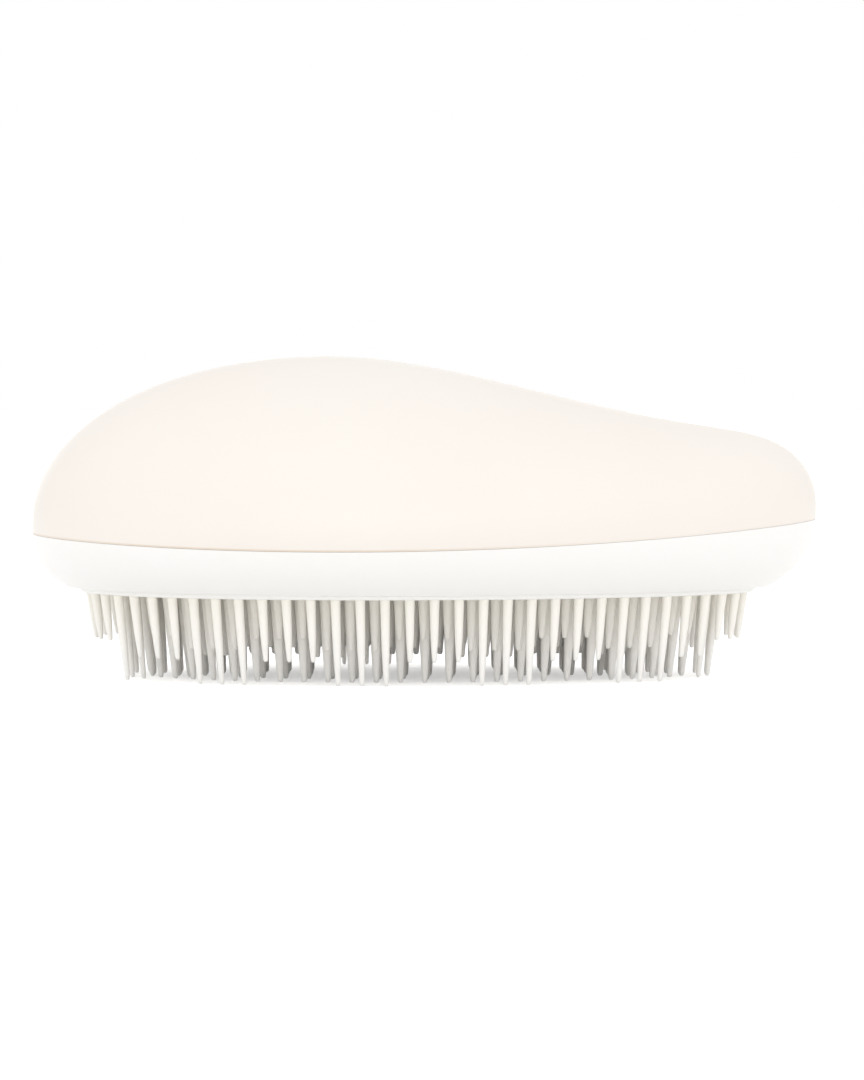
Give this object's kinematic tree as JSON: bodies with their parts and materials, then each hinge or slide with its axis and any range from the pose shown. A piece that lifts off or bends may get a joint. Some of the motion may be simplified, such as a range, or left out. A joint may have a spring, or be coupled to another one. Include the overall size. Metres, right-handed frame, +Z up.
{
  "type": "detangling brush",
  "caption": "Palm-held detangling hairbrush: smooth domed cover clicked onto a base band, with a toothed pad of tapered flexible teeth in mixed lengths underneath.",
  "frame": {"origin": "centre of the bounding box in plan, on the level plane through the tips of the long teeth", "axes": "+X from the high palm end to the low tail end, +Z up through the dome, teeth pointing to -Z"},
  "size_m": [0.116, 0.0694, 0.0472],
  "materials": {
    "cover": "satin cream",
    "band": "satin white",
    "pad": "soft white",
    "teeth": "warm white, slightly translucent"
  },
  "bodies": {
    "root": {"top_cover": "cover", "base_shell": "band", "bristle_pad": "pad", "tooth_ring_1": "teeth", "tooth_ring_2": "teeth", "tooth_ring_3": "teeth", "tooth_ring_4": "teeth", "tooth_ring_5": "teeth", "tooth_ring_6": "teeth", "tooth_ring_7": "teeth"}
  },
  "joints": []
}
